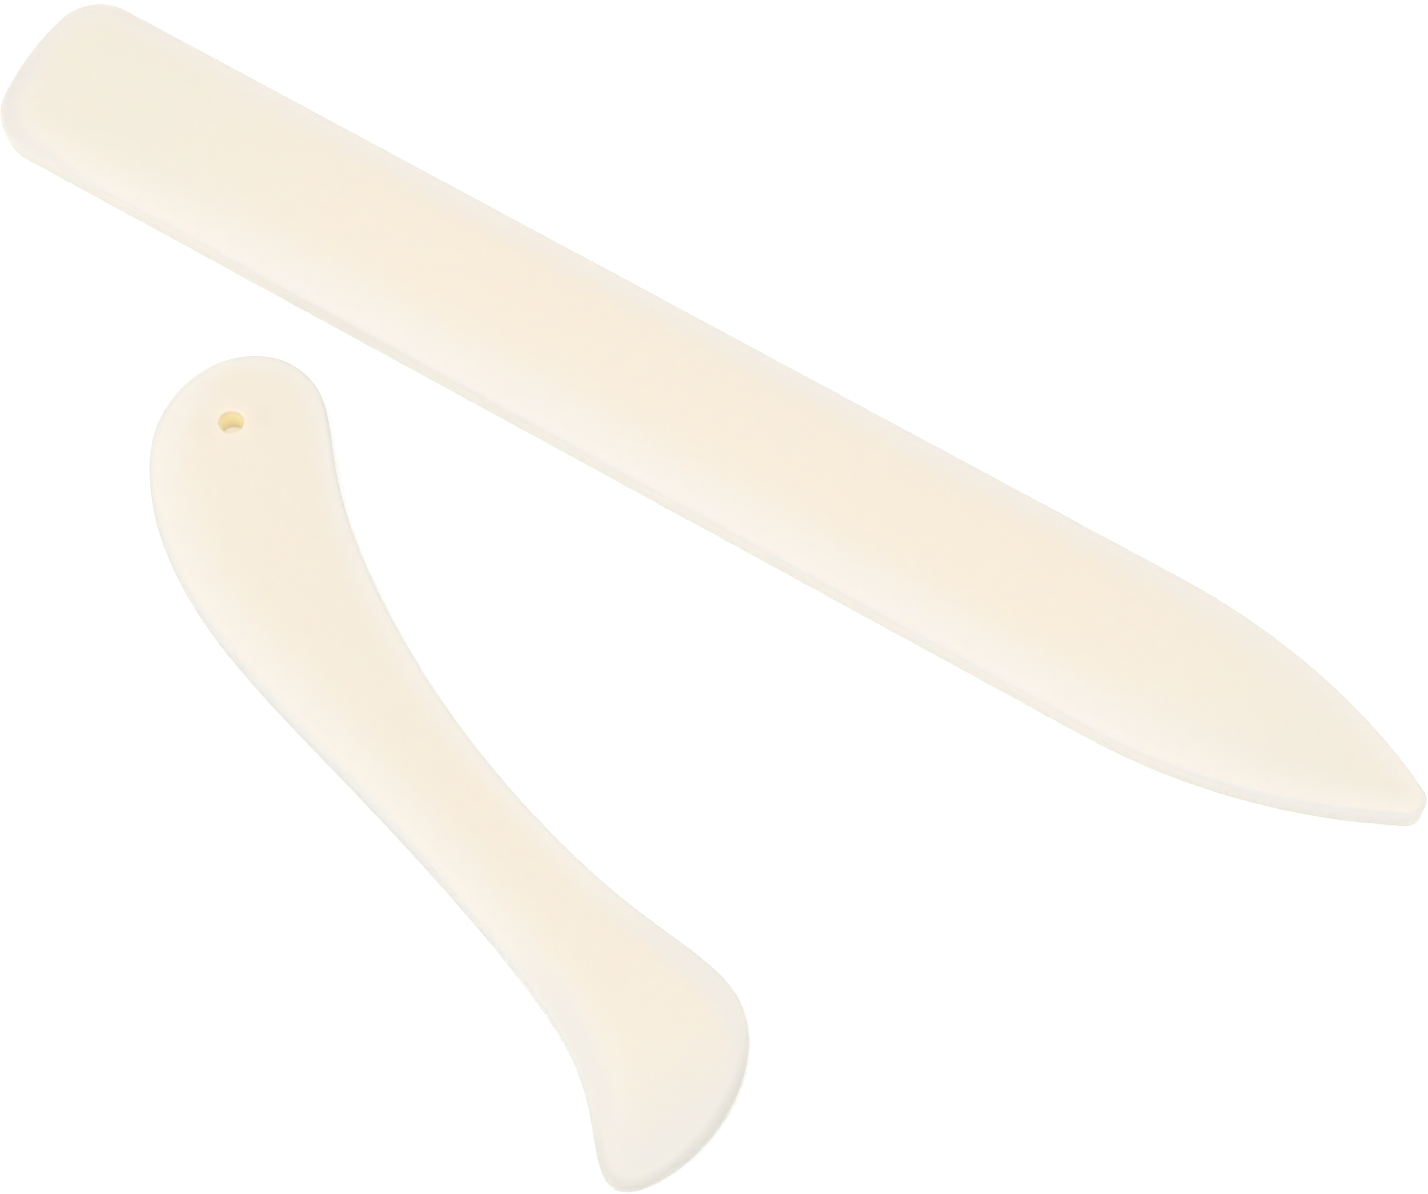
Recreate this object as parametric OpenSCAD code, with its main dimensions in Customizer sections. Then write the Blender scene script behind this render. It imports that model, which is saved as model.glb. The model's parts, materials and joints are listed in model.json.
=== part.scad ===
// A pair of hand tools for creasing and burnishing paper. The straight folder
// has a point at one end and a blunt end at the other. The curved folder has a
// broad head with a hang hole, a narrow bowed handle and a thin rounded blade.
// Each is one solid moulding, flat underneath and crowned on top, and the two
// lie side by side. Origin: the middle of the straight folder's underside.
// +X runs towards its point and +Z is up. Millimetres.

/* [Straight folder] */
// Length from the blunt end to the point
straight_l = 200; // [150:1:260]
// Width between the two parallel edges
straight_w = 23.5; // [19:0.5:32]
// Thickness along the middle
straight_t = 4.8; // [4:0.1:7]
// How much lower the long edges are than the middle
straight_crown = 1.3; // [0.6:0.1:1.6]
// Thickness at the point
point_t = 4.6; // [2.8:0.1:6]
// Length over which the edges close in to the point
point_l = 40; // [30:1:60]
// Radius of the point, seen from above
point_r = 2.25; // [1.5:0.25:5]
// Radius of the two corners at the blunt end
corner_r = 6.5; // [4:0.5:8]
// How far the blunt end bows out past its corners
end_bow = 2; // [1:0.1:3]

/* [Curved folder] */
// Length from the head to the blade's edge
curved_l = 118.75; // [96:0.25:150]
// Width of the head
head_w = 25; // [20:0.5:30]
// Width of the handle where it is narrowest
waist_w = 13.75; // [10:0.25:20]
// Width of the blade
blade_w = 22; // [16:0.5:28]
// How far the handle bows to one side of the head
handle_bow = 7.25; // [2:0.25:12]
// How far the blade leans to the other side
blade_lean = 2.25; // [0:0.25:6]
// How far the middle of the blade's edge drops back again
edge_drop = 9; // [2:0.5:12]
// Thickness along the middle of the head and handle
curved_t = 4.7; // [4:0.1:7]
// How much lower the edges are than the middle
curved_crown = 1.2; // [0.6:0.1:1.4]
// Thickness in the middle of the blade's edge
blade_t = 2.6; // [2.1:0.1:6]

/* [Hang hole] */
// Diameter of the hole
hole_d = 3; // [2:0.25:6]
// Distance from the head's end to the middle of the hole
hole_inset = 8.5; // [7:0.5:12]
// Width of the small bevel round each mouth of the hole
hole_bevel = 0.25; // [0.1:0.05:0.4]

/* [Edges] */
// Radius of the upper edges
upper_r = 0.7; // [0.4:0.1:0.7]
// Radius of the lower edges
lower_r = 0.5; // [0.3:0.1:0.6]
// How far the sides lean in from their top to their foot
draft = 0.3; // [0:0.05:0.5]

/* [Layout] */
// Clear space between the straight folder's edge and the curved folder's head
side_gap = 8; // [4:0.5:30]
// How far the hang hole lies from the middle of the straight folder's length
hole_back = 49.5; // [0:0.5:80]
// Angle that the curved folder is turned away from the straight one
turn = 25.7; // [0:0.1:60]

/* [Hidden] */

// Slope, from the vertical, at which an edge's arc meets the surface beside it
arc_end = 75;
arc_step = 25;
// Rows of the crown, and how near to the middle line the last one comes
crown_rows = 6;
crown_end = 0.12;
// Depth below the underside of the stock that is cut off flat
stock = 1;
hole_fn = 64;

half_l = straight_l / 2;
half_w = straight_w / 2;
head_half = head_w / 2;
waist_half = waist_w / 2;
blade_half = blade_w / 2;
// Reach of the turned head past the hang hole, on the side of the straight folder
head_reach = 0.44 * head_w;
hole_side = -0.05 * handle_bow;

// Points round a circle from angle a to angle b, without the last
function arc(centre, r, a, b, n) =
    [for (i = [0 : n - 1]) centre + r * [cos(a + (b - a) * i / n), sin(a + (b - a) * i / n)]];

// One point of a uniform cubic B-spline from four neighbouring control points
function spline_point(a, b, c, d, t) =
    (a * pow(1 - t, 3) + b * (3 * pow(t, 3) - 6 * t * t + 4)
     + c * (-3 * pow(t, 3) + 3 * t * t + 3 * t + 1) + d * pow(t, 3)) / 6;

// A closed smooth curve round a list of control points
function closed_spline(c, steps) =
    let (n = len(c))
    [for (i = [0 : n - 1], k = [0 : steps - 1])
        spline_point(c[(i + n - 1) % n], c[i], c[(i + 1) % n], c[(i + 2) % n], k / steps)];

// 0 before the start, 1 after the end, and a smooth rise between them
function ease(x, start, end) =
    let (s = max(0, min(1, (x - start) / (end - start))))
    s * s * (3 - 2 * s);

// Straight folder: one side of its outline, from the blunt end's middle to the point
end_r = (half_w * half_w + end_bow * end_bow) / (2 * end_bow);
end_x = end_r - half_l;
corner_y = half_w - corner_r;
corner_x = end_x - sqrt(pow(end_r - corner_r, 2) - corner_y * corner_y);
corner_a = atan2(corner_y, corner_x - end_x);
taper_x = half_l - point_l;
nose_x = half_l - point_r;
flank_r = (pow(nose_x - taper_x, 2) + half_w * half_w - point_r * point_r)
    / (2 * (half_w - point_r));
nose_a = atan2(flank_r - half_w, nose_x - taper_x);
edge_steps = 16;

straight_side = concat(
    arc([end_x, 0], end_r, 180, corner_a, 4),
    arc([corner_x, corner_y], corner_r, corner_a, 90, 8),
    [for (i = [0 : edge_steps - 1]) [corner_x + (taper_x - corner_x) * i / edge_steps, half_w]],
    arc([taper_x, half_w - flank_r], flank_r, 90, nose_a, 14),
    arc([nose_x, 0], point_r, nose_a, 0, 6),
    [[half_l, 0]]
);
straight_last = len(straight_side) - 1;
straight_outline = concat(
    straight_side,
    [for (i = [straight_last - 1 : -1 : 1]) [straight_side[i][0], -straight_side[i][1]]]
);
// The middle line stops short of both ends, so that the crown is rounded off there
ridge_start = half_w - half_l;
ridge_end = half_l - 3 * point_r;
straight_ridge = [for (p = straight_outline) [max(ridge_start, min(ridge_end, p[0])), 0]];

// Thickness rule of each folder: its full and its end thickness, and where it falls
straight_body = [straight_t, point_t, taper_x, half_l];
curved_body = [curved_t, blade_t, curved_l / 2, curved_l];

// Curved folder: stations from the head to the blade, each with its share of the
// length, the middle's sideways place and half the width. Its own origin is the
// middle of the head's end, and its own +X runs to the blade.
stations = [
    [0.02, 0.09 * handle_bow, 0.74 * head_half],
    [0.09, -0.09 * handle_bow, 1.05 * head_half],
    [0.17, -0.7 * handle_bow, 0.94 * head_half],
    [0.3, -handle_bow, 0.78 * head_half],
    [0.51, -0.82 * handle_bow, 0.95 * waist_half],
    [0.75, -0.25 * handle_bow, 1.04 * waist_half],
    [0.885, blade_lean, 1.07 * blade_half],
    [0.985, blade_lean - edge_drop, 0.96 * blade_half],
];
last_station = len(stations) - 1;
control = concat(
    [[-0.01 * curved_l, 0.22 * handle_bow]],
    [for (s = stations) [s[0] * curved_l, s[1] + s[2]]],
    [[1.008 * curved_l, blade_lean - 1.25 * edge_drop]],
    [for (i = [last_station : -1 : 0]) [stations[i][0] * curved_l, stations[i][1] - stations[i][2]]]
);
spline_steps = 7;
curved_outline = closed_spline(control, spline_steps);
curved_count = len(curved_outline);
// The middle line runs from the second station to just short of the last
ridge_first = 2 * spline_steps;
ridge_last = 7 * spline_steps + 3;
curved_ridge = [for (i = [0 : curved_count - 1])
    let (
        side = min(i, curved_count - i),
        k = max(ridge_first, min(ridge_last, side))
    )
    (curved_outline[k] + curved_outline[(curved_count - k) % curved_count]) / 2];

// Thickness at x: body[0] as far as body[2], then falling smoothly to body[1] at body[3]
function thickness(x, body) =
    body[0] - (body[0] - body[1]) * ease(x, body[2], body[3]);

// Height of the top at share t of the way from the ridge to the edge. The crown
// flattens where the ridge is nearer to the edge than half the full width.
function top(p, t, reach, body, crown, half) =
    thickness(p[0], body) * (1 - crown / body[0] * pow(min(1, reach / half), 2) * t * t);

// One moulding. Its rows of points climb from the cut-off stock, round the lower
// edge, up the side, round the upper edge and over the crown to the ridge.
module moulding(outline, ridge, body, crown, half) {
    n = len(outline);
    arc_in = 1 - cos(arc_end);
    lower_rows = [for (a = [arc_end : -arc_step : 0])
        [for (i = [0 : n - 1])
            let (
                reach = norm(outline[i] - ridge[i]),
                t = 1 - (draft + lower_r * (1 - cos(a))) / reach,
                p = ridge[i] + (outline[i] - ridge[i]) * t
            )
            [p[0], p[1], lower_r * (sin(arc_end) - sin(a))]]];
    upper_rows = [for (a = [0 : arc_step : arc_end])
        [for (i = [0 : n - 1])
            let (
                reach = norm(outline[i] - ridge[i]),
                t = 1 - upper_r * (1 - cos(a)) / reach,
                t_in = 1 - upper_r * arc_in / reach,
                p = ridge[i] + (outline[i] - ridge[i]) * t,
                q = ridge[i] + (outline[i] - ridge[i]) * t_in
            )
            [p[0], p[1], top(q, t_in, reach, body, crown, half) - upper_r * (sin(arc_end) - sin(a))]]];
    crown_rows_up = [for (k = [1 : crown_rows])
        [for (i = [0 : n - 1])
            let (
                reach = norm(outline[i] - ridge[i]),
                t_in = 1 - upper_r * arc_in / reach,
                t = t_in + (crown_end - t_in) * k / crown_rows,
                p = ridge[i] + (outline[i] - ridge[i]) * t
            )
            [p[0], p[1], top(p, t, reach, body, crown, half)]]];
    stock_row = [for (p = lower_rows[0]) [p[0], p[1], -stock]];
    rows = concat([stock_row], lower_rows, upper_rows, crown_rows_up);
    m = len(rows);
    sides = [for (r = [0 : m - 2], i = [0 : n - 1])
        let (j = (i + 1) % n)
        [r * n + i, (r + 1) * n + i, (r + 1) * n + j, r * n + j]];
    floor_faces = strip(n, 0, false);
    top_faces = strip(n, (m - 1) * n, true);
    polyhedron(points = [for (row = rows, p = row) p], faces = concat(sides, floor_faces, top_faces));
}

// Faces across a closed row of n points, from each point to its opposite one
function strip(n, first, up) =
    let (
        h = n / 2,
        faces = concat(
            [[0, 1, n - 1]],
            [for (i = [1 : h - 2]) [i, i + 1, n - i - 1, n - i]],
            [[h - 1, h, h + 1]]
        )
    )
    [for (f = faces) [for (k = [0 : len(f) - 1]) first + (up ? f[len(f) - 1 - k] : f[k])]];

// The stock below the underside, cut off to leave one flat face
module below(reach) {
    translate([0, 0, -2 * stock])
        cylinder(r = reach, h = 2 * stock, $fn = 96);
}

module straight_folder() {
    color("#f8ecd9")
    difference() {
        moulding(straight_outline, straight_ridge, straight_body, straight_crown, half_w);
        below(0.6 * straight_l);
    }
}

// The hang hole, with a bevel at the underside and at the crown above it
module hang_hole() {
    top_z = top([hole_inset, hole_side], 0, head_half, curved_body, curved_crown, head_half);
    translate([hole_inset, hole_side, -stock])
        cylinder(d = hole_d, h = top_z + 2 * stock, $fn = hole_fn);
    translate([hole_inset, hole_side, 0]) {
        translate([0, 0, -hole_bevel])
            cylinder(d1 = hole_d + 4 * hole_bevel, d2 = hole_d, h = 2 * hole_bevel, $fn = hole_fn);
        translate([0, 0, top_z - hole_bevel])
            cylinder(d1 = hole_d, d2 = hole_d + 4 * hole_bevel, h = 2 * hole_bevel, $fn = hole_fn);
    }
}

module curved_folder() {
    color("#f7ebd8")
    translate([-hole_back, -(half_w + side_gap + head_reach), 0])
    rotate([0, 0, -turn])
    translate([-hole_inset, -hole_side, 0])
    difference() {
        moulding(curved_outline, curved_ridge, curved_body, curved_crown, head_half);
        below(1.2 * curved_l);
        hang_hole();
    }
}

straight_folder();
curved_folder();
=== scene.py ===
import json
import math

import bmesh
import bpy
from mathutils import Matrix, Vector, noise
from mathutils.bvhtree import BVHTree


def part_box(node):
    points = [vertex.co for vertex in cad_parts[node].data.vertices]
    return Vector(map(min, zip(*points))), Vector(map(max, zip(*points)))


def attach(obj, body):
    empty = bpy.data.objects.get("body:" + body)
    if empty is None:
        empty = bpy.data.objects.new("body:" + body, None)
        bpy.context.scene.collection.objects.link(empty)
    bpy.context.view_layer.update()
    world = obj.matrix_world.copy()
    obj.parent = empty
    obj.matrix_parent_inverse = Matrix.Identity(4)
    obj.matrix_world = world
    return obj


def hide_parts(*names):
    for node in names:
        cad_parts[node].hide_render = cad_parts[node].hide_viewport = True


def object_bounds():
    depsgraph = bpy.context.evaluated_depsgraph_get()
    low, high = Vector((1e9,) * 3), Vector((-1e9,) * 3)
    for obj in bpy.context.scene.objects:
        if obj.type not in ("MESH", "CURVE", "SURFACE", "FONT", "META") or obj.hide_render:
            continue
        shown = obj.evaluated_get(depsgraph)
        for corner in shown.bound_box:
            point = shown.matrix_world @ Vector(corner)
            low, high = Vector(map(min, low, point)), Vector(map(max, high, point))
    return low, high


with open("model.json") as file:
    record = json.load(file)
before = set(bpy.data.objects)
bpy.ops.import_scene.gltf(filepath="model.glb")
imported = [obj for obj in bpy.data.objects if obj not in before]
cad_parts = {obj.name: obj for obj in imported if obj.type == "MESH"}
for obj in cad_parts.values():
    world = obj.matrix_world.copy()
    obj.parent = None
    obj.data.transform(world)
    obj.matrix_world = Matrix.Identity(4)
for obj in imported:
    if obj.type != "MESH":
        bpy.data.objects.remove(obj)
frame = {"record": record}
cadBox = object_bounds()
mm = 0.001  # the folders are modelled in millimetres and scaled to metres at the end
weld = 0.002  # corners of a row that lie nearer than this, in mm, become one
sliver = 0.001  # edges shorter than this, in mm, are dissolved


def hexToLinear(code):
    # sRGB hex to the linear values that the shader wants
    channels = [int(code[i:i + 2], 16) / 255 for i in (1, 3, 5)]
    return [c / 12.92 if c <= 0.04045 else ((c + 0.055) / 1.055) ** 2.4 for c in channels] + [1.0]


def ease(x, start, end):
    # 0 before the start, 1 after the end, a smooth rise between them
    share = max(0.0, min(1.0, (x - start) / (end - start)))
    return share * share * (3 - 2 * share)


def addNode(tree, kind, settings=None, links=None):
    # settings go to the node's own properties where it has them, and to its sockets otherwise
    made = tree.nodes.new(kind)
    for key, value in (settings or {}).items():
        if isinstance(key, str) and hasattr(made, key):
            setattr(made, key, value)
        else:
            made.inputs[key].default_value = value
    for key, source in (links or {}).items():
        tree.links.new(source, made.inputs[key])
    return made


def extrudeRow(bm, edges, place):
    # one more row of the shell: the loop is extruded and each new corner is put in its place
    made = bmesh.ops.extrude_edge_only(bm, edges=edges)["geom"]
    verts = [g for g in made if isinstance(g, bmesh.types.BMVert)]
    fresh = set(verts)
    for vert in verts:
        vert.co = place(vert)
    return [g for g in made if isinstance(g, bmesh.types.BMEdge) and fresh.issuperset(g.verts)]


def thicknessAt(x, body):
    # a folder is thickest over most of its length and thins towards its working end
    thinning = ease(x, body["thinFrom"], body["thinTo"])
    return body["thickness"] - (body["thickness"] - body["endThickness"]) * thinning


def crownDrop(t, body):
    # how the top falls from the ridge (0) to the edge (1): a flat lens with two steeper flanks
    start, soft = body["flankStart"], body["flankSoft"]
    flank = ((t - start) + math.hypot(t - start, soft)) / 2
    base = (-start + math.hypot(start, soft)) / 2
    full = ((1 - start) + math.hypot(1 - start, soft)) / 2
    return (1 - body["flankShare"]) * t * t + body["flankShare"] * (flank - base) / (full - base)


def topAt(point, t, reach, body):
    # height of the top, t of the way from the ridge to the edge, where that way is reach long
    narrow = min(1.0, reach / body["fullReach"]) ** 2  # a narrow place is crowned less
    drop = body["crown"] / body["thickness"] * narrow * crownDrop(t, body)
    sway = body["sway"] * noise.noise(Vector((point.x, point.y, body["swaySlice"])) / body["swaySize"])
    return thicknessAt(point.x, body) * (1 - drop) - body["sway"] + sway * (1 - t)


def raiseBody(bm, outline, body):
    # the outline becomes a closed shell: foot, side wall, crown up to the ridge, flat underside;
    # rim and ridge are copied from corner to corner, so each row knows how far in it lies
    rim = bm.verts.layers.float_vector["rim"]
    ridge = bm.verts.layers.float_vector["ridge"]

    def placed(share, height):
        def place(vert):
            reach = (vert[rim] - vert[ridge]).length
            t = share(reach)
            point = vert[ridge] + (vert[rim] - vert[ridge]) * t
            return Vector((point.x, point.y, height(point, t, reach)))
        return place

    onFloor = lambda point, t, reach: 0.0
    onTop = lambda point, t, reach: topAt(point, t, reach, body)
    footShare = lambda reach: 1 - body["draft"] / reach
    for vert in bm.verts:
        vert.co = placed(footShare, onFloor)(vert)
    # the bevel cuts the rim back, so it starts that much outside and the wall keeps its full size
    cutBack = body["draft"] * body["upperRadius"] / (body["thickness"] - body["crown"])
    upper = extrudeRow(bm, outline, placed(lambda reach: 1 + cutBack / reach, onTop))
    upperLoop = list(upper)
    floor = list(outline)
    rows = body["crownRows"]
    for k in range(rows):  # both skins run in to the ridge, their first row clear of the rounded edges
        share = lambda reach, k=k: (1 - body["firstRow"] / reach) * (1 - k / (rows - 1))
        upper = extrudeRow(bm, upper, placed(share, onTop))
        floor = extrudeRow(bm, floor, placed(share, onFloor))
    bmesh.ops.remove_doubles(bm, verts=bm.verts[:], dist=weld)
    bmesh.ops.dissolve_degenerate(bm, edges=bm.edges[:], dist=sliver)
    bmesh.ops.recalc_face_normals(bm, faces=bm.faces[:])  # a bevel needs both halves turned one way
    upperLoop = [e for e in upperLoop if e.is_valid]
    outline = [e for e in outline if e.is_valid]
    bmesh.ops.bevel(bm, geom=upperLoop, offset=body["upperRadius"], affect="EDGES", segments=6,
                    profile=0.5, material=-1, clamp_overlap=False)
    outline = [e for e in outline if e.is_valid]
    bmesh.ops.bevel(bm, geom=outline, offset=body["lowerRadius"], affect="EDGES", segments=4,
                    profile=0.5, material=-1, clamp_overlap=False)
    bmesh.ops.recalc_face_normals(bm, faces=bm.faces[:])


zones = {  # where the plastic changes colour, in mm in from the edge
    "rimShadeStart": 0.15,  # the painted shade on the rounded rim fades from here
    "farRimShadeLoss": 0.55,  # how much weaker it is on the far side, as a share
    "farTurn": 0.6,  # how far round an end, as a share, the near side goes over into the far side
    "wallShadeInset": (0.3, 0.7),  # the side wall's painted shade ends here
    "wallShadeRise": (-0.3, 0.5),  # and fades upwards over these heights about the wall's top
    "bladeEdgeShade": (0.3, 1.7),  # the painted shade on the cutting edge ends here
}


def paintDepthAndShade(bm, body):
    # what the plastic reads at each corner: light goes deeper in the thick middle and comes back warmer;
    # on top of that it holds painted light and painted shade: a paler near side, a darker rim, side wall
    # and blade edge
    rim = bm.verts.layers.float_vector["rim"]
    ridge = bm.verts.layers.float_vector["ridge"]
    warmthAndLight = bm.verts.layers.float.new("warmthAndPaintedLight")
    ends = bm.verts.layers.float.new("plainEnds")
    rimShade = bm.verts.layers.float.new("paintedRimShade")
    wallShade = bm.verts.layers.float.new("paintedWallShade")
    mark = bm.verts.layers.float.new("flowMark")
    for vert in bm.verts:
        toEdge = vert[rim] - vert[ridge]
        flat = Vector((vert.co.x, vert.co.y, 0))
        inset = max(0.0, toEdge.length - (flat - vert[ridge]).length)  # mm in from the edge
        # 0 on the near side, towards -Y, and 1 on the far side, towards +Y
        farSide = ease(toEdge.y / max(toEdge.length, sliver), -zones["farTurn"], zones["farTurn"])
        # the pale band reaches further in on the near side: painted light on the near flank
        paleWidth = body["paleNear"] + (body["paleFar"] - body["paleNear"]) * farSide
        vert[warmthAndLight] = ease(inset, 0.0, paleWidth) * body["lengthwise"](vert.co.x)
        vert[ends] = body["plainEnds"](vert.co.x, inset)
        rimShadeEnd = body["rimShadeWidth"](vert.co.x)
        # painted shade along the rounded rim, weaker on the far side
        vert[rimShade] = (1 - ease(inset, zones["rimShadeStart"], rimShadeEnd)) * (1 - zones["farRimShadeLoss"] * farSide)
        # painted shade on the side wall, fading out upwards past the wall's top
        wallTop = thicknessAt(vert.co.x, body) - body["crown"] - 0.5 * body["upperRadius"]
        outerPart = 1 - ease(inset, *zones["wallShadeInset"])
        upright = outerPart * (1 - ease(vert.co.z - wallTop, *zones["wallShadeRise"]))
        # painted shade along the blade's thin edge, in the side wall's colour
        paintedEdgeShade = body["cuttingEdgeShade"](vert.co.x) * (1 - ease(inset, *zones["bladeEdgeShade"]))
        vert[wallShade] = max(upright, paintedEdgeShade)
        spread = ((flat - spot).length / body["markRadius"] for spot in body["flowMarks"])
        vert[mark] = sum(math.exp(-far ** 2) for far in spread)


def finishPiece(bm, name, material, place):
    # the shell goes to its place in the frame, from millimetres to metres, and becomes an object
    for layer in ("rim", "ridge"):
        bm.verts.layers.float_vector.remove(bm.verts.layers.float_vector[layer])
    bmesh.ops.transform(bm, matrix=place, verts=bm.verts[:])
    bmesh.ops.scale(bm, vec=(mm, mm, mm), verts=bm.verts[:])
    for face in bm.faces:
        face.smooth = True
    mesh = bpy.data.meshes.new(name)
    bm.to_mesh(mesh)
    bm.free()
    mesh.materials.append(material)
    piece = bpy.data.objects.new(name, mesh)
    bpy.context.scene.collection.objects.link(piece)
    return piece


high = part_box("straight_folder")[1] / mm
straight = {  # lengths in mm
    "halfLength": high.x,
    "halfWidth": high.y,
    "pointLength": 40,  # length over which the edges close in to the point
    "pointRadius": 2.25,  # the point's small round nose
    "cornerRadius": 6.5,  # the blunt end's two corners
    "endBow": 2,  # how far the blunt end bows out past its corners
    "edgeSteps": 70,  # pieces of a long edge
    "thickness": high.z - 0.01,  # a hair under the CAD's, so that the finished top stays inside it
    "endThickness": 4.55,  # at the point
    "thinFrom": high.x - 40,  # it thins over the length of the point
    "thinTo": high.x,
    "crown": 1.3,  # how much higher the ridge is than the edge
    "fullReach": high.y,  # ridge to edge where the crown is at its full height
    "flankStart": 0.62,  # share of the way out where the steeper flank begins
    "flankSoft": 0.09,  # how gradually it begins
    "flankShare": 0.45,  # how much of the crown the flank takes
    "crownRows": 26,
    "firstRow": 1.1,  # how far in the first row lies
    "draft": 0.3,  # how much the wall leans in towards its foot
    "upperRadius": 0.62,
    "lowerRadius": 0.45,
    "sway": 0.02,  # slow unevenness of the moulded top
    "swaySize": 24,
    "swaySlice": 90,  # which slice of the noise it is taken from
    "paleNear": 11,  # how far in from each long edge the plastic reaches its full warmth; the wider pale band on the near side is painted light
    "paleFar": 6,
    # how warm the middle is, how plain the ends are, how wide the rim's painted shade runs, along the
    # length
    "lengthwise": lambda x: 0.5 + 0.5 * ease(x, -98, -45) * (1 - ease(x, 40, 98)),
    "plainEnds": lambda x, inset: ((1 - ease(x, -92, -45) * (1 - ease(x, 58, 95)))
                                   * (0.15 + 0.85 * ease(inset, 0, 6))),
    "rimShadeWidth": lambda x: 0.85 + 3 * (1 - ease(x, -97, -82)),  # wider round the blunt end
    "cuttingEdgeShade": lambda x: 0,  # it has none
    "flowMarks": [],
}


def spinVert(bm, vert, centre, angle, steps):
    # draws an arc from the corner and gives back the arc's other end
    made = bmesh.ops.spin(bm, geom=[vert], cent=centre, axis=(0, 0, 1), angle=angle, steps=steps)
    return next(g for g in made["geom_last"] if isinstance(g, bmesh.types.BMVert))


def pushVert(bm, vert, step, steps):
    # the same for a straight run
    for _ in range(steps):
        vert = bmesh.ops.extrude_vert_indiv(bm, verts=[vert])["verts"][0]
        bmesh.ops.translate(bm, verts=[vert], vec=step)
    return vert


def outlineStraight(bm, s):
    # one long side from the blunt end's middle to the point, as arcs and a line, then mirrored
    halfLength, halfWidth = s["halfLength"], s["halfWidth"]
    endRadius = (halfWidth ** 2 + s["endBow"] ** 2) / (2 * s["endBow"])
    endCentre = Vector((endRadius - halfLength, 0, 0))
    cornerY = halfWidth - s["cornerRadius"]
    cornerX = endCentre.x - math.sqrt((endRadius - s["cornerRadius"]) ** 2 - cornerY ** 2)
    corner = Vector((cornerX, cornerY, 0))
    cornerAngle = math.atan2(cornerY, cornerX - endCentre.x)
    taperX = halfLength - s["pointLength"]
    noseX = halfLength - s["pointRadius"]
    tip = s["pointRadius"]
    flankRadius = ((noseX - taperX) ** 2 + halfWidth ** 2 - tip ** 2) / (2 * (halfWidth - tip))
    noseAngle = math.atan2(flankRadius - halfWidth, noseX - taperX)

    vert = bm.verts.new((-halfLength, 0, 0))
    vert = spinVert(bm, vert, endCentre, cornerAngle - math.pi, steps=14)
    vert = spinVert(bm, vert, corner, math.pi / 2 - cornerAngle, steps=16)
    vert = pushVert(bm, vert, Vector(((taperX - cornerX) / s["edgeSteps"], 0, 0)), s["edgeSteps"])
    flankCentre = Vector((taperX, halfWidth - flankRadius, 0))
    vert = spinVert(bm, vert, flankCentre, noseAngle - math.pi / 2, steps=32)
    spinVert(bm, vert, Vector((noseX, 0, 0)), -noseAngle, steps=12)
    bmesh.ops.mirror(bm, geom=bm.verts[:] + bm.edges[:], matrix=Matrix.Identity(4), axis="Y")
    bmesh.ops.remove_doubles(bm, verts=bm.verts[:], dist=sliver)

    # the ridge runs down the middle, half a width short of the blunt end and just short of the nose
    rim = bm.verts.layers.float_vector.new("rim")
    ridge = bm.verts.layers.float_vector.new("ridge")
    for vert in bm.verts:
        vert[rim] = vert.co
        ridgeX = max(halfWidth - halfLength, min(halfLength - 3 * s["pointRadius"], vert.co.x))
        vert[ridge] = Vector((ridgeX, 0, 0))


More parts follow.
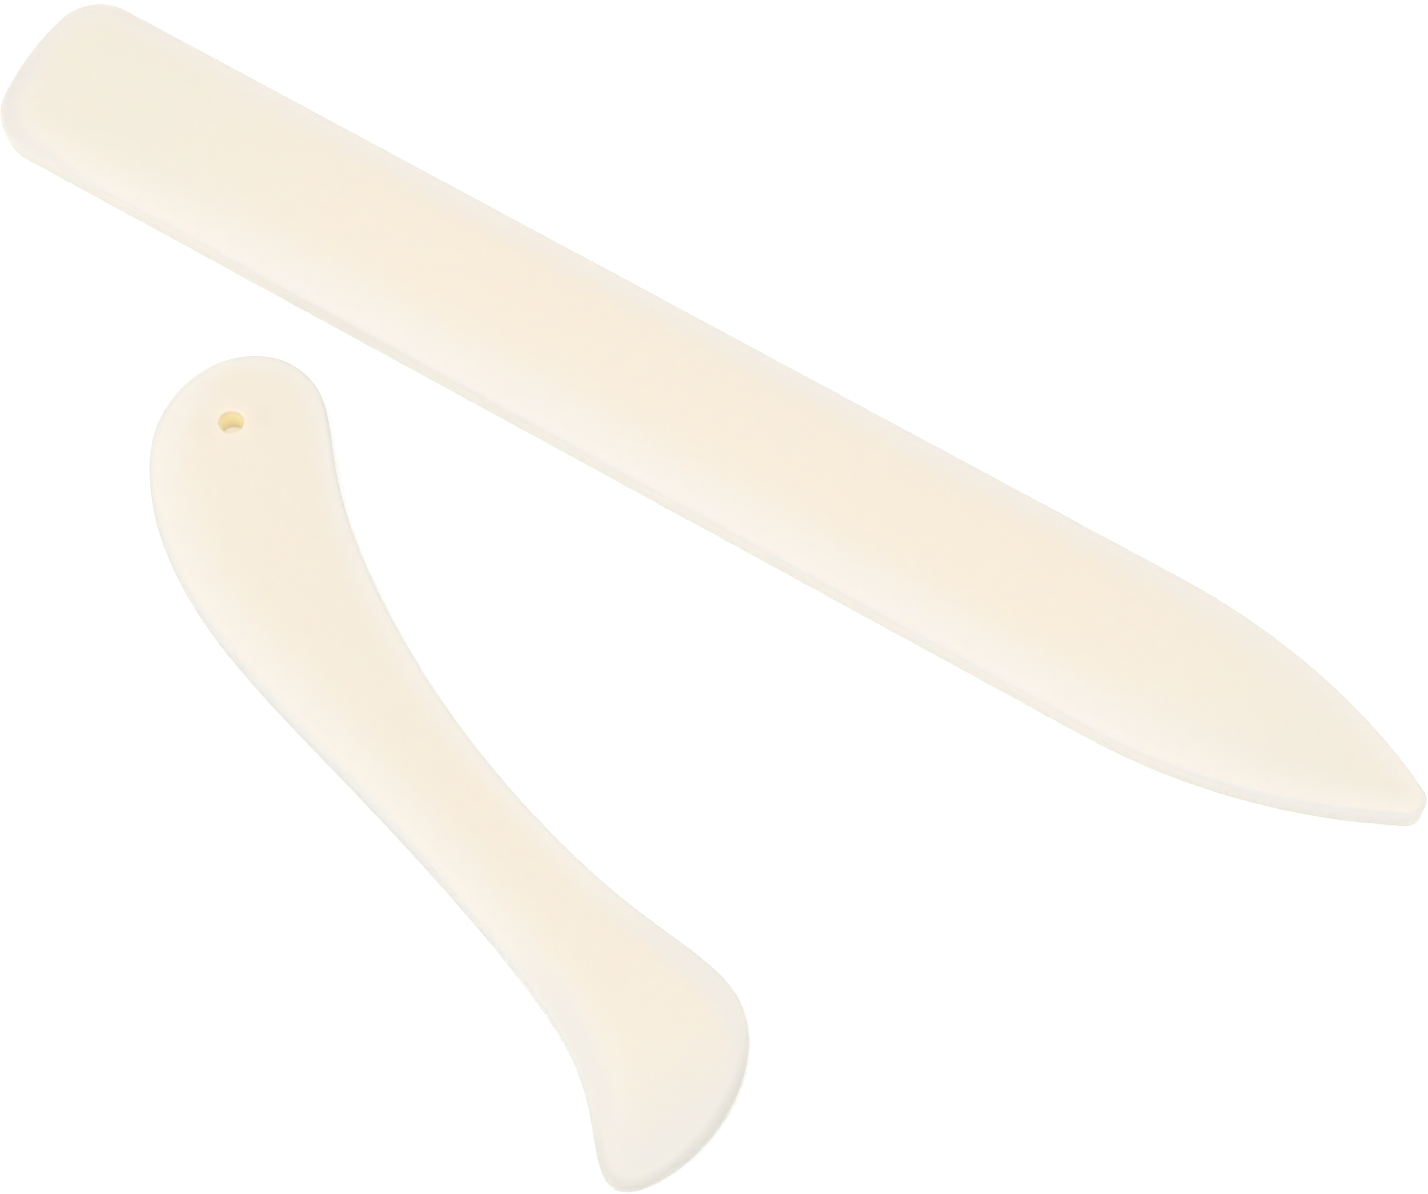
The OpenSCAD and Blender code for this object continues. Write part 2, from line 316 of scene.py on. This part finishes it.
hole = next(m for m in frame["record"]["mounts"] if m["name"] == "hang_hole")
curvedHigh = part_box("curved_folder")[1] / mm
curved = {  # lengths in mm; x runs from the head's end to the blade's
    "length": 118.75,
    "headWidth": 25,
    "waistWidth": 13.75,
    "bladeWidth": 22,
    "handleBow": 7.25,  # how far the handle bows to one side of the head
    "bladeLean": 2.25,  # how far the blade's root lies to the other side
    "edgeDrop": 9,  # how far the middle of the blade's edge drops back
    "turn": 25.7,  # degrees from the straight folder's direction
    "curveSteps": 12,  # corners drawn for each control point of the outline
    "ridgeFrom": 2,  # where the ridge starts and ends, in control points from the head's end
    "ridgeTo": 7 + 3 / 7,
    "thickness": curvedHigh.z,
    "endThickness": 2.6,  # at the blade's edge
    "thinFrom": 59.375,  # it thins over the second half of its length
    "thinTo": 118.75,
    "crown": 1.2,
    "fullReach": 12.5,
    "flankStart": 0.5,
    "flankSoft": 0.1,
    "flankShare": 0.45,
    "crownRows": 22,
    "firstRow": 1.1,
    "draft": 0.3,
    "upperRadius": 0.62,
    "lowerRadius": 0.45,
    "sway": 0.02,
    "swaySize": 18,
    "swaySlice": 90,
    # the wider pale band on the near side is painted light
    "paleNear": 8.5,
    "paleFar": 4.5,
    "lengthwise": lambda x: 1 - 0.35 * ease(x, 84, 110),
    "plainEnds": lambda x, inset: max(ease(x, 104, 118), ease(x, 80, 98) * (1 - ease(inset, 0.8, 5))),
    "rimShadeWidth": lambda x: 0.85,
    "cuttingEdgeShade": lambda x: ease(x, 106, 116),  # painted shade: the thin edge of the blade is drawn greyer
    # faint marks where the melt met again past the pin that made the hole
    "flowMarks": [Vector((7.3, -3.5, 0)), Vector((9.9, 3.3, 0))],
    "markRadius": 1.5,
    "holePlace": Vector((8.5, -0.3625, 0)),  # on the handle's middle line
    "holeRadius": hole["dims"]["r_mm"],
    "holeRound": 0.3,  # the upper mouth's rounding
    "holeFoot": 0.12,  # the lower mouth's
    "holeSegments": 72,
    "holeMargin": 0.35,  # how far past the rounding the faces are taken out
    "mouthRows": 5,  # rows of each mouth's rounding
    "wallRows": 10,  # rows of the bore between them
    "boreRise": (-0.3, 1.7),  # depths over which the painted glow in the bore comes up
    "boreFade": (2.4, 4.4),  # and goes down again, darker deeper in
    "boreLoss": 0.55,  # by this share
}


def outlineCurved(bm, c):
    # a closed NURBS curve of order 4 through the same control points as the CAD outline
    bow, lean, drop = c["handleBow"], c["bladeLean"], c["edgeDrop"]
    head, waist, blade = c["headWidth"] / 2, c["waistWidth"] / 2, c["bladeWidth"] / 2
    stations = [  # share of the length, the middle's sideways place, half the width
        (0.02, 0.09 * bow, 0.74 * head),
        (0.09, -0.09 * bow, 1.05 * head),
        (0.17, -0.7 * bow, 0.94 * head),
        (0.3, -bow, 0.78 * head),
        (0.51, -0.82 * bow, 0.95 * waist),
        (0.75, -0.25 * bow, 1.04 * waist),
        (0.885, lean, 1.07 * blade),
        (0.985, lean - drop, 0.96 * blade),
    ]
    far = [(s[0] * c["length"], s[1] - s[2]) for s in reversed(stations)]
    control = far[-1:] + [(-0.01 * c["length"], 0.22 * bow)]
    control += [(s[0] * c["length"], s[1] + s[2]) for s in stations]
    control += [(1.008 * c["length"], lean - 1.25 * drop)] + far[:-1]
    data = bpy.data.curves.new("outline", "CURVE")
    data.dimensions = "3D"
    spline = data.splines.new("NURBS")
    spline.points.add(len(control) - 1)
    for point, (x, y) in zip(spline.points, control):
        point.co = (x, y, 0, 1)
    spline.order_u, spline.use_cyclic_u, spline.resolution_u = 4, True, c["curveSteps"]
    drawn = bpy.data.objects.new("outline", data)
    bm.from_mesh(drawn.to_mesh())
    drawn.to_mesh_clear()
    bpy.data.objects.remove(drawn)
    bpy.data.curves.remove(data)

    # the ridge runs midway between opposite points of the outline, short of both ends
    bm.verts.ensure_lookup_table()
    count, steps = len(bm.verts), c["curveSteps"]
    first, last = c["ridgeFrom"] * steps, round(c["ridgeTo"] * steps)
    rim = bm.verts.layers.float_vector.new("rim")
    ridge = bm.verts.layers.float_vector.new("ridge")
    for i, vert in enumerate(bm.verts):
        k = max(first, min(last, min(i, count - i)))
        vert[rim] = vert.co
        vert[ridge] = (bm.verts[k].co + bm.verts[(count - k) % count].co) / 2


def cutHole(bm, c):
    # the faces round the hole are taken out, and a circle's loop is bridged in and extruded through
    centre, radius, rounding = c["holePlace"], c["holeRadius"], c["holeRound"]
    surface = BVHTree.FromBMesh(bm)
    wellAbove, halfway = 20, 1  # mm over the floor: clear of the top, and between underside and top
    topHeight = lambda co: surface.ray_cast(Vector((co.x, co.y, wellAbove)), Vector((0, 0, -1)))[0].z
    rim = bm.verts.layers.float_vector["rim"]
    ridge = bm.verts.layers.float_vector["ridge"]
    bore = bm.verts.layers.float.new("paintedBoreGlow")
    fromCentre = lambda v: math.hypot(v.co.x - centre.x, v.co.y - centre.y)
    clear = radius + rounding + c["holeMargin"]
    near = [f for f in bm.faces if min(fromCentre(v) for v in f.verts) < clear]
    bmesh.ops.delete(bm, geom=near, context="FACES")
    edge = [e for e in bm.edges if e.is_boundary]
    topEdge = [e for e in edge if e.verts[0].co.z > halfway]
    floorEdge = [e for e in edge if e.verts[0].co.z <= halfway]
    sample = topEdge[0].verts[0]
    sampleRim, sampleRidge = sample[rim].copy(), sample[ridge].copy()
    ring = bmesh.ops.create_circle(bm, segments=c["holeSegments"], radius=radius + rounding,
                                   cap_ends=False, matrix=Matrix.Translation(centre))["verts"]
    for vert in ring:
        vert.co.z = topHeight(vert.co)
        vert[rim], vert[ridge] = sampleRim, sampleRidge
    loop = list({e for v in ring for e in v.link_edges})
    bmesh.ops.bridge_loops(bm, edges=topEdge + loop)
    topZ = sum(v.co.z for v in ring) / len(ring)

    def boreRow(edges, newRadius, height, lean):
        # one loop of the bore; lean is how much of the top's slope it still follows
        def place(vert):
            out = Vector((vert.co.x, vert.co.y, 0)) - centre
            z = height + lean * (topHeight(vert.co) - topZ)
            return centre + out.normalized() * newRadius + Vector((0, 0, z))
        row = extrudeRow(bm, edges, place)
        # painted glow in the bore: it rises with depth, then fades deeper down as painted shade
        depth = topZ - height
        for e in row:
            for v in e.verts:
                v[bore] = ease(depth, *c["boreRise"]) * (1 - c["boreLoss"] * ease(depth, *c["boreFade"]))
        return row

    steps = c["mouthRows"]
    for k in range(1, steps + 1):
        a = math.pi / 2 * k / steps
        height = topZ - rounding * (1 - math.cos(a))
        loop = boreRow(loop, radius + rounding * (1 - math.sin(a)), height, 1 - k / steps)
    wallRows, foot = c["wallRows"], c["holeFoot"]
    for k in range(1, wallRows + 1):
        loop = boreRow(loop, radius, topZ - rounding - (topZ - rounding - foot) * k / wallRows, 0)
    for k in range(1, steps + 1):
        a = math.pi / 2 * k / steps
        loop = boreRow(loop, radius + foot * (1 - math.cos(a)), foot * (1 - math.sin(a)), 0)
    bmesh.ops.triangle_fill(bm, use_beauty=True, edges=floorEdge + loop)
    bmesh.ops.recalc_face_normals(bm, faces=bm.faces[:])


ivoryFinish = {  # sizes in mm
    "cloudSize": 30,
    "cloudRange": 0.6,  # how much the clouds change the warmth
    "cloudBase": 0.7,
    "markStrength": 0.2,
    "rimShadeStrength": 0.9,
    "glowStrength": 0.12,
    "dullSize": 12,
    "roughness": (0.34, 0.46),
    "grainSize": 0.7,
    "grainHeight": 0.01,
    "grainStrength": 0.25,
    "scatterShare": 0.6,
    "scatterReach": 2.0,
    "scatterTint": (1.0, 0.75, 0.5),  # red goes furthest
}
ivoryShared = {
    "mark": "#ded5c3",  # the faint marks beside the hole
    "bore": "#f9efce",  # painted light inside the hole, paler and warmer than the plastic
    "glow": "#ffedb4",  # painted glow: emission standing in for the light that comes through the wall into it
}
ivoryStraight = {
    **ivoryShared,
    "core": "#ede3d2",  # the thick middle
    "edge": "#eae5de",  # the paler band along the edges: thin plastic, and on the near side painted light
    "ends": "#e8e2d4",
    "rim": "#dfdcd8",  # painted shade on the rounding
    "wallShade": "#e3dfd5",  # painted shade on the side wall below it
}
ivoryCurved = {
    **ivoryShared,
    "core": "#ebe2d2",
    "edge": "#eae5dd",
    "ends": "#e4e1da",
    # painted shade on the rounding
    "rim": "#dcdbd6",
    # painted shade on the side wall
    "wallShade": "#d6d4ce",
}


def mouldedIvoryPlastic(name, colours, finish):
    # injection-moulded urea or acrylic ivory: satin skin, warm where it is thick, paler where it is thin;
    # painted light on the near side, painted shade on the rim, side wall and blade edge, and a painted
    # glow in the hole
    material = bpy.data.materials.new(name)
    material.use_nodes = True
    tree = material.node_tree
    tree.nodes.clear()
    place = addNode(tree, "ShaderNodeTexCoord")
    warmthAndLight = addNode(tree, "ShaderNodeAttribute", {"attribute_name": "warmthAndPaintedLight"})
    ends = addNode(tree, "ShaderNodeAttribute", {"attribute_name": "plainEnds"})
    rimShade = addNode(tree, "ShaderNodeAttribute", {"attribute_name": "paintedRimShade"})
    wallShade = addNode(tree, "ShaderNodeAttribute", {"attribute_name": "paintedWallShade"})
    mark = addNode(tree, "ShaderNodeAttribute", {"attribute_name": "flowMark"})
    bore = addNode(tree, "ShaderNodeAttribute", {"attribute_name": "paintedBoreGlow"})
    # wide clouds, where the melt was a little warmer or paler
    clouds = addNode(tree, "ShaderNodeTexNoise",
                     {"Scale": 1000 / finish["cloudSize"], "Detail": 3.0, "Roughness": 0.5},
                     {"Vector": place.outputs["Object"]})
    cloudy = addNode(tree, "ShaderNodeMath",
                     {"operation": "MULTIPLY_ADD", 1: finish["cloudRange"], 2: finish["cloudBase"]},
                     {0: clouds.outputs["Fac"]})
    # warmth by thickness, with the near side's painted light as a wider paler band
    amount = addNode(tree, "ShaderNodeMath", {"operation": "MULTIPLY", "use_clamp": True},
                     {0: warmthAndLight.outputs["Fac"], 1: cloudy.outputs["Value"]})
    body = addNode(tree, "ShaderNodeMix", {"data_type": "RGBA", 6: hexToLinear(colours["edge"]),
                                           7: hexToLinear(colours["core"])}, {0: amount.outputs["Value"]})
    ended = addNode(tree, "ShaderNodeMix", {"data_type": "RGBA", 7: hexToLinear(colours["ends"])},
                    {0: ends.outputs["Fac"], 6: body.outputs[2]})
    faint = addNode(tree, "ShaderNodeMath", {"operation": "MULTIPLY", 1: finish["markStrength"]},
                    {0: mark.outputs["Fac"]})
    marked = addNode(tree, "ShaderNodeMix", {"data_type": "RGBA", 7: hexToLinear(colours["mark"])},
                     {0: faint.outputs["Value"], 6: ended.outputs[2]})
    # painted shade on the rounded rim
    rimShadeAmount = addNode(tree, "ShaderNodeMath", {"operation": "MULTIPLY", 1: finish["rimShadeStrength"]},
                      {0: rimShade.outputs["Fac"]})
    rimShaded = addNode(tree, "ShaderNodeMix", {"data_type": "RGBA", 7: hexToLinear(colours["rim"])},
                     {0: rimShadeAmount.outputs["Value"], 6: marked.outputs[2]})
    # painted shade on the side wall and along the blade's edge
    wallShaded = addNode(tree, "ShaderNodeMix", {"data_type": "RGBA", 7: hexToLinear(colours["wallShade"])},
                     {0: wallShade.outputs["Fac"], 6: rimShaded.outputs[2]})
    # painted light in the bore
    amber = addNode(tree, "ShaderNodeMix", {"data_type": "RGBA", 7: hexToLinear(colours["bore"])},
                    {0: bore.outputs["Fac"], 6: wallShaded.outputs[2]})
    # painted glow: an emission that stands in for light that has come through the plastic into the hole
    glow = addNode(tree, "ShaderNodeMath", {"operation": "MULTIPLY", 1: finish["glowStrength"]},
                   {0: bore.outputs["Fac"]})
    # a satin skin, with patches where it is a little duller
    dull = addNode(tree, "ShaderNodeTexNoise", {"Scale": 1000 / finish["dullSize"], "Detail": 2.0},
                   {"Vector": place.outputs["Object"]})
    rough = addNode(tree, "ShaderNodeMapRange",
                    {"To Min": finish["roughness"][0], "To Max": finish["roughness"][1]},
                    {"Value": dull.outputs["Fac"]})
    # the mould's fine grain, about 0.3 mm in such a skin and drawn at 0.7 mm so that it can show
    grain = addNode(tree, "ShaderNodeTexNoise", {"Scale": 1000 / finish["grainSize"], "Detail": 2.0},
                    {"Vector": place.outputs["Object"]})
    bump = addNode(tree, "ShaderNodeBump",
                   {"Strength": finish["grainStrength"], "Distance": finish["grainHeight"] * mm},
                   {"Height": grain.outputs["Fac"]})
    shader = addNode(tree, "ShaderNodeBsdfPrincipled", {
        "IOR": 1.49,
        "Subsurface Weight": finish["scatterShare"],
        "Subsurface Radius": finish["scatterTint"],
        "Subsurface Scale": finish["scatterReach"] * mm,
        "Emission Color": hexToLinear(colours["glow"]),
    }, {"Base Color": amber.outputs[2], "Roughness": rough.outputs["Result"],
        "Normal": bump.outputs["Normal"], "Emission Strength": glow.outputs["Value"]})
    addNode(tree, "ShaderNodeOutputMaterial", {}, {"Surface": shader.outputs["BSDF"]})
    return material


stage = {  # metres, watts and degrees
    "floorSize": 8.0,
    "floorGap": 0.02 * mm,  # keeps the undersides off the floor
    "floorColour": "#f9f9f8",
    "floorGlow": 0.17,
    "horizonLight": 0.55,
    "zenithLight": 1.185,
    "keyPower": 4.1,
    "keySize": 1.4,
    "keyDistance": 1.3,
    "keyElevation": 58,
    "keyTowards": Vector((-0.24, -0.97, 0)),
}
view = {
    "elevation": 65.0,
    "azimuth": 31.18,
    "distance": 0.79096,
    "aim": Vector((0.01224, -0.01858, 0)),
    "lens": 163.87,
}


def makeStage(s):
    # a wide floor, a white tent and one softbox
    bm = bmesh.new()
    bmesh.ops.create_grid(bm, x_segments=1, y_segments=1, size=s["floorSize"] / 2)
    bmesh.ops.translate(bm, verts=bm.verts[:], vec=(0, 0, cadBox[0].z - s["floorGap"]))
    mesh = bpy.data.meshes.new("studioFloor")
    bm.to_mesh(mesh)
    bm.free()
    # board with a matt white paint: no shine, soft contact shadows, and a faint glow of its own that
    # keeps it white to the borders
    material = bpy.data.materials.new("paintedBoard")
    material.use_nodes = True
    shader = material.node_tree.nodes["Principled BSDF"]
    shader.inputs["Base Color"].default_value = hexToLinear(s["floorColour"])
    shader.inputs["Roughness"].default_value = 0.9
    shader.inputs["Specular IOR Level"].default_value = 0.1
    shader.inputs["Emission Color"].default_value = (1, 1, 1, 1)
    shader.inputs["Emission Strength"].default_value = s["floorGlow"]
    mesh.materials.append(material)
    floor = bpy.data.objects.new("studioFloor", mesh)
    bpy.context.scene.collection.objects.link(floor)

    # a white tent, brighter overhead than at the sides
    world = bpy.data.worlds.new("softWhiteTent")
    world.use_nodes = True
    tree = world.node_tree
    direction = addNode(tree, "ShaderNodeTexCoord")
    height = addNode(tree, "ShaderNodeSeparateXYZ", {}, {0: direction.outputs["Generated"]})
    level = addNode(tree, "ShaderNodeMapRange", {"To Min": s["horizonLight"], "To Max": s["zenithLight"]},
                    {"Value": height.outputs["Z"]})
    tree.nodes["Background"].inputs["Color"].default_value = (1, 1, 1, 1)
    tree.links.new(level.outputs["Result"], tree.nodes["Background"].inputs["Strength"])
    bpy.context.scene.world = world

    light = bpy.data.lights.new("keySoftbox", "AREA")
    light.shape, light.size, light.energy = "SQUARE", s["keySize"], s["keyPower"]
    key = bpy.data.objects.new("keySoftbox", light)
    rise = math.radians(s["keyElevation"])
    away = s["keyTowards"].normalized() * math.cos(rise) + Vector((0, 0, math.sin(rise)))
    centre = (cadBox[0] + cadBox[1]) / 2
    key.location = centre + away * s["keyDistance"]
    key.rotation_euler = away.to_track_quat("Z", "Y").to_euler()
    bpy.context.scene.collection.objects.link(key)


def makeCamera(v):
    # a long lens, turned and raised about the point that it aims at
    data = bpy.data.cameras.new("camera")
    data.sensor_width, data.lens = 36.0, v["lens"]
    data.clip_start, data.clip_end = 0.01, 50
    camera = bpy.data.objects.new("camera", data)
    rise, turn = math.radians(v["elevation"]), math.radians(v["azimuth"])
    back = Vector((math.sin(turn) * math.cos(rise), -math.cos(turn) * math.cos(rise), math.sin(rise)))
    camera.location = v["aim"] + back * v["distance"]
    camera.rotation_euler = (math.pi / 2 - rise, 0, turn)
    bpy.context.scene.collection.objects.link(camera)
    bpy.context.scene.camera = camera
    bpy.context.scene.view_settings.view_transform = "Standard"


makeStage(stage)
makeCamera(view)
print("stage, light and camera ready")

bm = bmesh.new()
outlineStraight(bm, straight)
raiseBody(bm, bm.edges[:], straight)
paintDepthAndShade(bm, straight)
longPlastic = mouldedIvoryPlastic("mouldedIvoryPlasticLong", ivoryStraight, ivoryFinish)
straightFolder = finishPiece(bm, "straightFolderBody", longPlastic, Matrix.Identity(4))
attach(straightFolder, "straight")
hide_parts("straight_folder")
print("straight folder:", len(straightFolder.data.polygons), "faces")

bm = bmesh.new()
outlineCurved(bm, curved)
raiseBody(bm, bm.edges[:], curved)
cutHole(bm, curved)
paintDepthAndShade(bm, curved)
holeOnRow = Vector(hole["pos_m"]) / mm
curvedPlace = (Matrix.Translation((holeOnRow.x, holeOnRow.y, 0))
               @ Matrix.Rotation(-math.radians(curved["turn"]), 4, "Z")
               @ Matrix.Translation(-curved["holePlace"]))
shortPlastic = mouldedIvoryPlastic("mouldedIvoryPlasticShort", ivoryCurved, ivoryFinish)
curvedFolder = finishPiece(bm, "curvedFolderBody", shortPlastic, curvedPlace)
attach(curvedFolder, "curved")
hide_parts("curved_folder")
print("curved folder:", len(curvedFolder.data.polygons), "faces")
